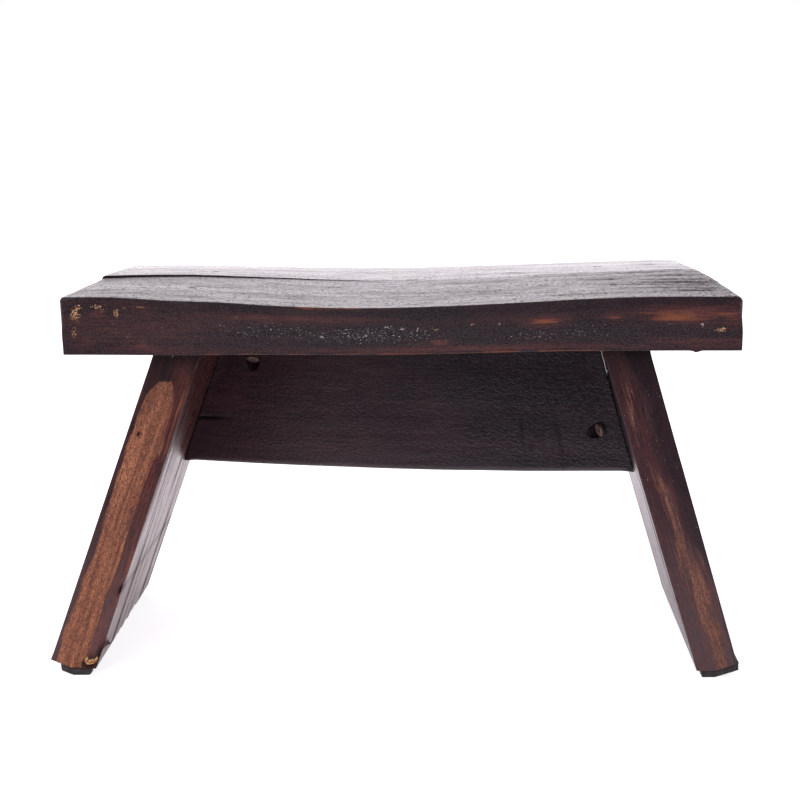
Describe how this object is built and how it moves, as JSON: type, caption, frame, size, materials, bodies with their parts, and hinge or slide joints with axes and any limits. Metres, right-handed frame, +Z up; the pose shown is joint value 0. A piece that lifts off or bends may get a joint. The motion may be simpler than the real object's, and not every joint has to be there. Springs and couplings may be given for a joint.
{
  "type": "low stool",
  "caption": "Low wooden stool with a dished plank seat on splayed board legs tied by a stretcher board.",
  "frame": {"origin": "on the floor, under the middle of the outline's box", "axes": "+X along the seat to the right leg, +Y from the front edge to the rear edge, +Z up"},
  "size_m": [0.3872, 0.2, 0.217],
  "materials": {
    "seat_wood": "near-black brown stain under a satin lacquer, chipped, and worn to orange-brown low on its front",
    "left_leg_wood": "light brown wood showing through a dark stain, satin",
    "right_leg_wood": "maroon-brown stain, streaked, satin",
    "stretcher_wood": "dark red-brown stain with a paler worn lower edge, satin",
    "pad_rubber": "matt",
    "tack_steel": "dull",
    "nail_steel": "dull",
    "screw_steel": "browned by rust",
    "nail_hole_filler": "matt stained filler"
  },
  "bodies": {
    "root": {"seat_plank": "seat_wood", "left_leg": "left_leg_wood", "right_leg": "right_leg_wood", "stretcher": "stretcher_wood", "foot_pad_front_left": "pad_rubber", "foot_pad_rear_left": "pad_rubber", "foot_pad_front_right": "pad_rubber", "foot_pad_rear_right": "pad_rubber", "foot_tacks_left": "tack_steel", "foot_tacks_right": "tack_steel", "left_leg_seat_nails": "nail_steel", "right_leg_seat_nails": "nail_steel", "left_leg_seat_fillers": "nail_hole_filler", "right_leg_seat_fillers": "nail_hole_filler", "stretcher_end_nails": "nail_steel", "stretcher_end_fillers": "nail_hole_filler", "right_pocket_screw": "screw_steel", "upper_pocket_screw": "screw_steel"}
  },
  "joints": []
}
